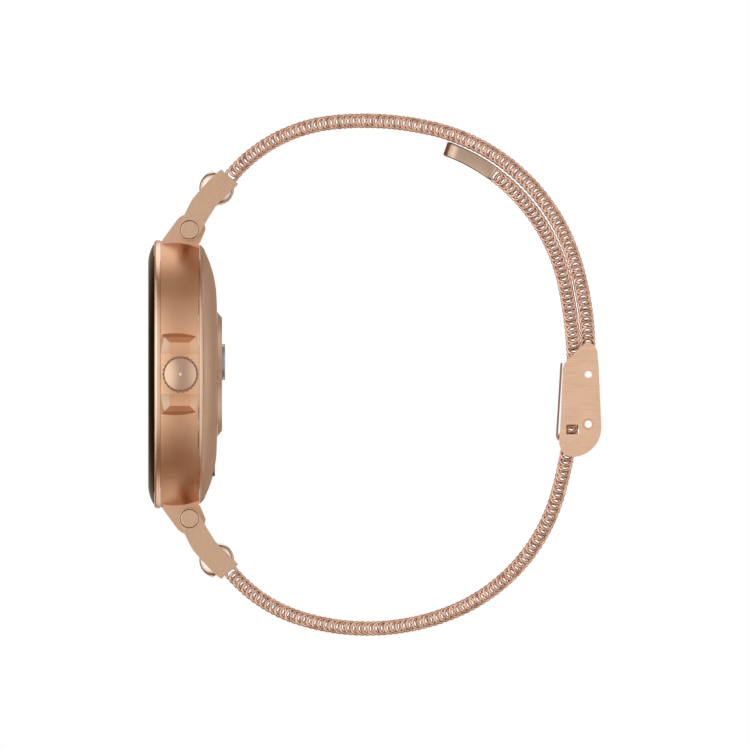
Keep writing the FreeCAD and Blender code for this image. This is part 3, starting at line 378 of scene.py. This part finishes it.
FINISH = {
    CASE: ["mid_case"],
    BEZEL: ["bezel_ring"],
    BACK: ["back_cover", "sensor_ring"],
    GLASS: ["cover_glass", "display_panel"],
    LENS: ["sensor_lens"],
    CONTACT: ["charging_contacts"],
    CROWN: ["crown_cap"],
    LINK: ["upper_link", "lower_link", "upper_lug_pin", "lower_lug_pin"],
    POLISH: ["upper_bead", "lower_bead", "upper_bead_pin", "lower_bead_pin"],
    CLASP: ["clasp_cover", "clasp_base", "latch_tube", "hinge_tube"],
    PLATE: ["lock_plate", "hook_plate", "lock_pin"],
    STEEL: ["crown_stem", "crown_bush", "crown_clip", "crown_spring", "board_shield", "vibration_motor"],
    RUBBER: ["front_gasket", "back_gasket", "crown_seal"],
    BLACK_PLASTIC: ["inner_frame", "crown_slider", "crown_switch"],
    BOARD: ["main_board", "sensor_board"],
    POUCH: ["battery"],
}

for material, names in FINISH.items():
    for name in names:
        NODES[name].data.materials.clear()
        NODES[name].data.materials.append(material)


# In metres.
WELD_REACH = 1e-6
FLAT_ANGLE = math.radians(1)
SHARP_ANGLE = math.radians(35)


def bevel_edges(name, width):
    """Breaks a CAD piece's sharp edges. Its flat faces are merged first, because a bevel can't be wider than
    the thin triangles that it meets."""
    piece = NODES[name]
    weld = piece.modifiers.new("weld", "WELD")
    weld.merge_threshold = WELD_REACH
    merge = piece.modifiers.new("merge_flat_faces", "DECIMATE")
    merge.decimate_type = "DISSOLVE"
    merge.angle_limit = FLAT_ANGLE
    bevel = piece.modifiers.new("broken_edges", "BEVEL")
    bevel.width = width * MM
    bevel.segments = 3
    bevel.limit_method = "ANGLE"
    bevel.angle_limit = SHARP_ANGLE
    bevel.harden_normals = True


# Piece and width of its bevel, in mm.
BEVELS = {
    "upper_link": 0.18,
    "lower_link": 0.18,
    "upper_lug_pin": 0.08,
    "lower_lug_pin": 0.08,
    "clasp_cover": 0.15,
}

for name, width in BEVELS.items():
    bevel_edges(name, width)


# ---------------------------------------------------------------- band path

# The band's centre line as the CAD has it: where it leaves each end link (Y and Z in mm), its heading there
# in degrees, and its arcs (radius in mm, turn in degrees). Named lengths from here to the band tip are in mm.
START = (1.23, 29.35)
HEADING = 50.4
UPPER_ARCS = [(22.8, 44.1), (44.5, 19.9), (28.9, 59.1), (46.0, 15.2)]
LOWER_ARCS = [(22.0, 32.6), (33.5, 39.9), (26.8, 52.2), (65.7, 27.3), (27.6, 59.0)]
TIP_LENGTH = 8.3
THICK = 2.1
WIDE = 18.0


class Path:
    """A chain of tangent arcs in the YZ plane. sign is -1 for the upper half, which turns clockwise."""

    def __init__(self, arcs, sign):
        heading = math.radians(-sign * HEADING)
        at = np.array([START[0], -sign * START[1]])
        self.sign = sign
        self.rows = []
        along = 0.0
        for radius, turn in arcs:
            centre = at + np.array([-math.sin(heading), math.cos(heading)]) * sign * radius
            self.rows.append((along, centre, radius, heading - sign * math.pi / 2))
            along += radius * math.radians(turn)
            heading += sign * math.radians(turn)
            angle = heading - sign * math.pi / 2
            at = centre + radius * np.array([math.cos(angle), math.sin(angle)])
        self.length = along

    def place(self, x, s, n):
        """Points in metres, from distances across the band, along its centre line and outward, in mm."""
        x, s, n = np.broadcast_arrays(*(np.asarray(value, float) for value in (x, s, n)))
        out = np.empty(x.shape + (3,))
        out[..., 0] = x
        for i, (begin, centre, radius, angle) in enumerate(self.rows):
            low = -math.inf if i == 0 else begin
            high = math.inf if i == len(self.rows) - 1 else self.rows[i + 1][0]
            here = (s >= low) & (s < high)
            a = angle + self.sign * (s[here] - begin) / radius
            out[here, 1] = centre[0] + (radius + n[here]) * np.cos(a)
            out[here, 2] = centre[1] + (radius + n[here]) * np.sin(a)
        return out * MM


UPPER = Path(UPPER_ARCS, -1)
LOWER = Path(LOWER_ARCS, 1)


# ---------------------------------------------------------------- mesh helpers

def mesh_object(name, points, faces, material, smooth=True):
    mesh = bpy.data.meshes.new(name)
    mesh.from_pydata(np.asarray(points).reshape(-1, 3).tolist(), [], np.asarray(faces).tolist())
    mesh.materials.append(material)
    piece = bpy.data.objects.new(name, mesh)
    bpy.context.scene.collection.objects.link(piece)
    if smooth:
        mesh.polygons.foreach_set("use_smooth", [True] * len(mesh.polygons))
    return piece


def sweep(lines, radius, sides, closed):
    """Round wires of one point count along many polylines at once: lines is (count, points, 3), in metres."""
    count, steps, _ = lines.shape
    if closed:
        ahead = np.roll(lines, -1, 1) - np.roll(lines, 1, 1)
    else:
        ahead = np.gradient(lines, axis=1)
    ahead /= np.linalg.norm(ahead, axis=2, keepdims=True)
    reference = np.array([1.0, 0.0, 0.0])
    side = np.cross(ahead, reference)
    side /= np.linalg.norm(side, axis=2, keepdims=True)
    up = np.cross(side, ahead)
    turn = np.arange(sides) * 2 * math.pi / sides
    ring = (side[:, :, None, :] * np.cos(turn)[None, None, :, None]
            + up[:, :, None, :] * np.sin(turn)[None, None, :, None]) * radius
    points = lines[:, :, None, :] + ring
    last = steps if closed else steps - 1
    i = np.arange(last)[:, None]
    j = np.arange(sides)[None, :]
    a = i * sides + j
    b = i * sides + (j + 1) % sides
    c = ((i + 1) % steps) * sides + (j + 1) % sides
    d = ((i + 1) % steps) * sides + j
    quads = np.stack([a, b, c, d], -1).reshape(-1, 4)
    faces = (quads[None] + (np.arange(count) * steps * sides)[:, None, None]).reshape(-1, 4)
    return points.reshape(-1, 3), faces


# ---------------------------------------------------------------- woven band

# PITCH is from row to row, COIL_STEP from turn to turn of a coil, and RING_HALF and RING_RISE are half of a
# turn's size along the band and through it.
PITCH = 0.835
WIRE_RADIUS = 0.22
RING_HALF = 0.765
STAND_PROUD = 0.06
RING_RISE = THICK / 2 - WIRE_RADIUS + STAND_PROUD
COIL_STEP = 1.1
COIL_INSET = 0.55
EDGE_RING_WIDTH = 0.36
EDGE_RING_STEPS = 22
SIDES = 5
TURN_STEPS = 14


def weave(name, path, centres):
    """One flattened coil across the band for each centre, hooked into its neighbours, with a closed ring at
    each edge."""
    centres = np.asarray(centres)[:, None]
    inner = WIDE / 2 - COIL_INSET
    turns = round(2 * inner / COIL_STEP)
    theta = np.linspace(0, 2 * math.pi * turns, turns * TURN_STEPS + 1)[None, :]
    x = -inner + 2 * inner * theta / theta.max()
    rows = np.arange(len(centres))[:, None]
    stagger = COIL_STEP / 4 * np.where(rows % 2 == 0, 1, -1)
    coil = path.place(x + stagger, centres + RING_HALF * np.cos(theta), RING_RISE * np.sin(theta))
    points, faces = sweep(coil, WIRE_RADIUS * MM, SIDES, False)
    theta = np.linspace(0, 2 * math.pi, EDGE_RING_STEPS, endpoint=False)[None, :]
    for side in (-1, 1):
        x = side * (WIDE / 2 - WIRE_RADIUS - EDGE_RING_WIDTH * (1 + np.cos(theta)) / 2)
        ring = path.place(x, centres + RING_HALF * np.cos(theta), RING_RISE * np.sin(theta))
        more, extra = sweep(ring, WIRE_RADIUS * MM, SIDES + 1, True)
        faces = np.concatenate([faces, extra + len(points)])
        points = np.concatenate([points, more])
    return mesh_object(name, points, faces, WIRE)


HOOK_REACH = 0.35
FIRST_GAP = 0.05
BEND_HALF = 7.0
BLEND_HALF = BEND_HALF - 1
LOWER_PIECES = 4


def coil_centres(stop):
    """Evenly spaced coils whose first and last rows hook into what holds the band's ends."""
    first = FIRST_GAP + HOOK_REACH
    last = stop - HOOK_REACH
    return np.linspace(first, last, round((last - first) / PITCH) + 1)


def band():
    """The upper half in three pieces, the middle one across the strap's bend, and the lower half in
    four."""
    flex = UPPER.rows[2][0]
    upper = coil_centres(UPPER.length + PITCH)
    before = upper < flex - BEND_HALF
    after = upper >= flex + BEND_HALF
    for name, chosen, node, body in (
        ("band_upper_start", before, "upper_band", "upper_strap"),
        ("band_upper_bend", ~(before | after), None, None),
        ("band_upper_end", after, "upper_band_end", "upper_strap_end"),
    ):
        piece = weave(name, UPPER, upper[chosen])
        if node is None:
            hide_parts("upper_band", "upper_band_end")
            UPPER.place(0, flex - BLEND_HALF, 0)
            UPPER.place(0, flex + BLEND_HALF, 0)
            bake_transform(piece)
        else:
            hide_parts(node)
            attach(piece, body)
    lower = coil_centres(LOWER.length - TIP_LENGTH)
    for i, centres in enumerate(np.array_split(lower, LOWER_PIECES)):
        piece = weave("band_lower_%d" % (i + 1), LOWER, centres)
        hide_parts("lower_band")
        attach(piece, "lower_strap")


band()


# ---------------------------------------------------------------- band tip

TIP_WIDE = 18.3
TIP_HALF = 1.1
TIP_CORNER = 2.0
TIP_EDGE = 0.35
TIP_THINNING = 0.6
EDGE_STEPS = 5
STRAIGHT_STEPS = 10
CORNER_STEPS = 12
# In metres.
SAME_POINT = 1e-7


def rounded_section(half_width, half_height, edge):
    """A rectangle with rounded corners as (x, n) points, the same count for every size."""
    points = []
    for quarter, (sx, sn) in enumerate(((1, 1), (-1, 1), (-1, -1), (1, -1))):
        for i in range(EDGE_STEPS + 1):
            angle = (quarter + i / EDGE_STEPS) * math.pi / 2
            points.append((sx * (half_width - edge) + edge * math.cos(angle),
                           sn * (half_height - edge) + edge * math.sin(angle)))
    return np.array(points)


def band_tip():
    """The solid end piece: a curved slab whose far corners are rounded in plan and whose edges are broken."""
    start = LOWER.length - TIP_LENGTH
    straight = np.linspace(0, TIP_LENGTH - TIP_CORNER, STRAIGHT_STEPS)
    swing = np.linspace(0, math.pi / 2, CORNER_STEPS + 1)[1:]
    along = np.concatenate([straight, TIP_LENGTH - TIP_CORNER + TIP_CORNER * np.sin(swing)])
    rings = []
    for distance in along:
        into = max(distance - (TIP_LENGTH - TIP_CORNER), 0.0)
        shrink = TIP_CORNER - math.sqrt(max(TIP_CORNER ** 2 - into ** 2, 0.0))
        close = max(distance - (TIP_LENGTH - TIP_EDGE), 0.0)
        dip = TIP_EDGE - math.sqrt(max(TIP_EDGE ** 2 - close ** 2, 0.0))
        section = rounded_section(TIP_WIDE / 2 - shrink, TIP_HALF - dip * TIP_THINNING, TIP_EDGE)
        rings.append(LOWER.place(section[:, 0], start + distance, section[:, 1]))
    count = len(rings[0])
    mesh = bpy.data.meshes.new("band_tip_slab")
    build = bmesh.new()
    loops = [[build.verts.new(point) for point in ring] for ring in rings]
    for near, far in zip(loops, loops[1:]):
        for i in range(count):
            j = (i + 1) % count
            build.faces.new((near[i], near[j], far[j], far[i]))
    build.faces.new(loops[0])
    build.faces.new(loops[-1])
    bmesh.ops.remove_doubles(build, verts=build.verts, dist=SAME_POINT)
    bmesh.ops.recalc_face_normals(build, faces=build.faces)
    for face in build.faces:
        face.smooth = len(face.verts) == 4
    build.to_mesh(mesh)
    build.free()
    mesh.materials.append(TIP)
    piece = bpy.data.objects.new("band_tip_slab", mesh)
    bpy.context.scene.collection.objects.link(piece)
    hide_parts("band_tip")
    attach(piece, "lower_strap")


band_tip()


# ---------------------------------------------------------------- stage, lights and camera

SURROUNDINGS = (0.21, 0.12, 0.065, 1)
# Soft boxes that only reflections and light see: direction, cosine where each starts and is full, and colour.
SOFT_BOXES = (
    ((1.0, 0.0, 0.1), 0.25, 0.80, (0.46, 0.47, 0.465)),
    ((0.45, -1.0, 0.0), 0.35, 0.88, (0.80, 0.80, 0.78)),
    ((0.15, 1.0, 0.0), 0.30, 0.90, (0.56, 0.56, 0.55)),
    ((-0.75, 0.0, 1.0), 0.82, 0.975, (1.0, 0.98, 0.96)),
    ((-0.75, 0.1, -1.0), 0.82, 0.975, (0.62, 0.58, 0.54)),
    ((-1.0, 0.0, 0.0), 0.70, 0.97, (0.15, 0.13, 0.12)),
)


def studio_world():
    """White behind the object; for everything else, soft boxes round it over warm dark surroundings."""
    world = bpy.data.worlds.new("studio")
    bpy.context.scene.world = world
    world.use_nodes = True
    nodes, links = world.node_tree.nodes, world.node_tree.links
    at = nodes.new("ShaderNodeTexCoord").outputs["Generated"]

    def lobe(direction, low, high):
        dot = nodes.new("ShaderNodeVectorMath")
        dot.operation = "DOT_PRODUCT"
        dot.inputs[1].default_value = Vector(direction).normalized()
        links.new(at, dot.inputs[0])
        soft = nodes.new("ShaderNodeMapRange")
        soft.interpolation_type = "SMOOTHSTEP"
        soft.inputs["From Min"].default_value = low
        soft.inputs["From Max"].default_value = high
        links.new(dot.outputs["Value"], soft.inputs["Value"])
        return soft.outputs["Result"]

    base = nodes.new("ShaderNodeRGB")
    base.outputs[0].default_value = SURROUNDINGS
    total = base.outputs[0]
    for direction, low, high, colour in SOFT_BOXES:
        mix = nodes.new("ShaderNodeMix")
        mix.data_type = "RGBA"
        mix.blend_type = "ADD"
        links.new(lobe(direction, low, high), mix.inputs["Factor"])
        links.new(total, mix.inputs["A"])
        mix.inputs["B"].default_value = (*colour, 1)
        total = mix.outputs["Result"]
    room = nodes.new("ShaderNodeBackground")
    links.new(total, room.inputs["Color"])
    white = nodes.new("ShaderNodeBackground")
    white.inputs["Color"].default_value = (1, 1, 1, 1)
    seen = nodes.new("ShaderNodeLightPath").outputs["Is Camera Ray"]
    both = nodes.new("ShaderNodeMixShader")
    links.new(seen, both.inputs[0])
    links.new(room.outputs[0], both.inputs[1])
    links.new(white.outputs[0], both.inputs[2])
    links.new(both.outputs[0], nodes["World Output"].inputs["Surface"])


def lamp(name, place, target, size, power):
    """A soft lamp aimed at a target, left out of mirror images."""
    data = bpy.data.lights.new(name, "AREA")
    data.shape = "RECTANGLE"
    data.size, data.size_y = size
    data.energy = power
    light = bpy.data.objects.new(name, data)
    bpy.context.scene.collection.objects.link(light)
    light.location = place
    light.rotation_euler = (Vector(target) - Vector(place)).to_track_quat("-Z", "Y").to_euler()
    light.visible_glossy = False


FLOOR_GREY = (0.88, 0.88, 0.88, 1)
FLOOR_ROUGHNESS = 0.8
FLOOR_DROP = 0.0004
FLOOR_HALF = 0.9
# Name, place and size in metres, and power in watts.
LAMPS = (
    ("key", (0.35, -0.25, 0.35), (0.25, 0.25), 2.2),
    ("fill", (0.3, 0.4, 0.1), (0.3, 0.3), 1.2),
    ("rim", (-0.4, 0.1, 0.35), (0.3, 0.2), 1.6),
)


def stage():
    """A pale floor just under the object, and the lamps."""
    low, high = CAD_BOX
    middle = (low + high) / 2
    floor_material, nodes, links = tree_of("pale_floor")
    shader = nodes["Principled BSDF"]
    shader.inputs["Base Color"].default_value = FLOOR_GREY
    shader.inputs["Roughness"].default_value = FLOOR_ROUGHNESS
    corners = [(middle.x + i * FLOOR_HALF, middle.y + j * FLOOR_HALF, low.z - FLOOR_DROP)
               for i, j in ((-1, -1), (1, -1), (1, 1), (-1, 1))]
    floor = mesh_object("floor", corners, [[0, 1, 2, 3]], floor_material, smooth=False)
    floor.visible_glossy = False
    for name, place, size, power in LAMPS:
        lamp(name, place, middle, size, power)


VIEW_WIDTH = 0.1117
CAMERA_PLACE = (0.5, 0.02278, -0.00012)
CLIP_NEAR = 0.01
CLIP_FAR = 10


def camera():
    """A side view from the crown's side, without perspective."""
    data = bpy.data.cameras.new("camera")
    data.type = "ORTHO"
    data.ortho_scale = VIEW_WIDTH
    data.clip_start = CLIP_NEAR
    data.clip_end = CLIP_FAR
    view = bpy.data.objects.new("camera", data)
    bpy.context.scene.collection.objects.link(view)
    view.location = CAMERA_PLACE
    view.rotation_euler = (math.radians(90), 0, math.radians(90))
    bpy.context.scene.camera = view


bpy.context.scene.view_settings.view_transform = "Standard"
bpy.context.scene.view_settings.look = "None"
studio_world()
stage()
camera()
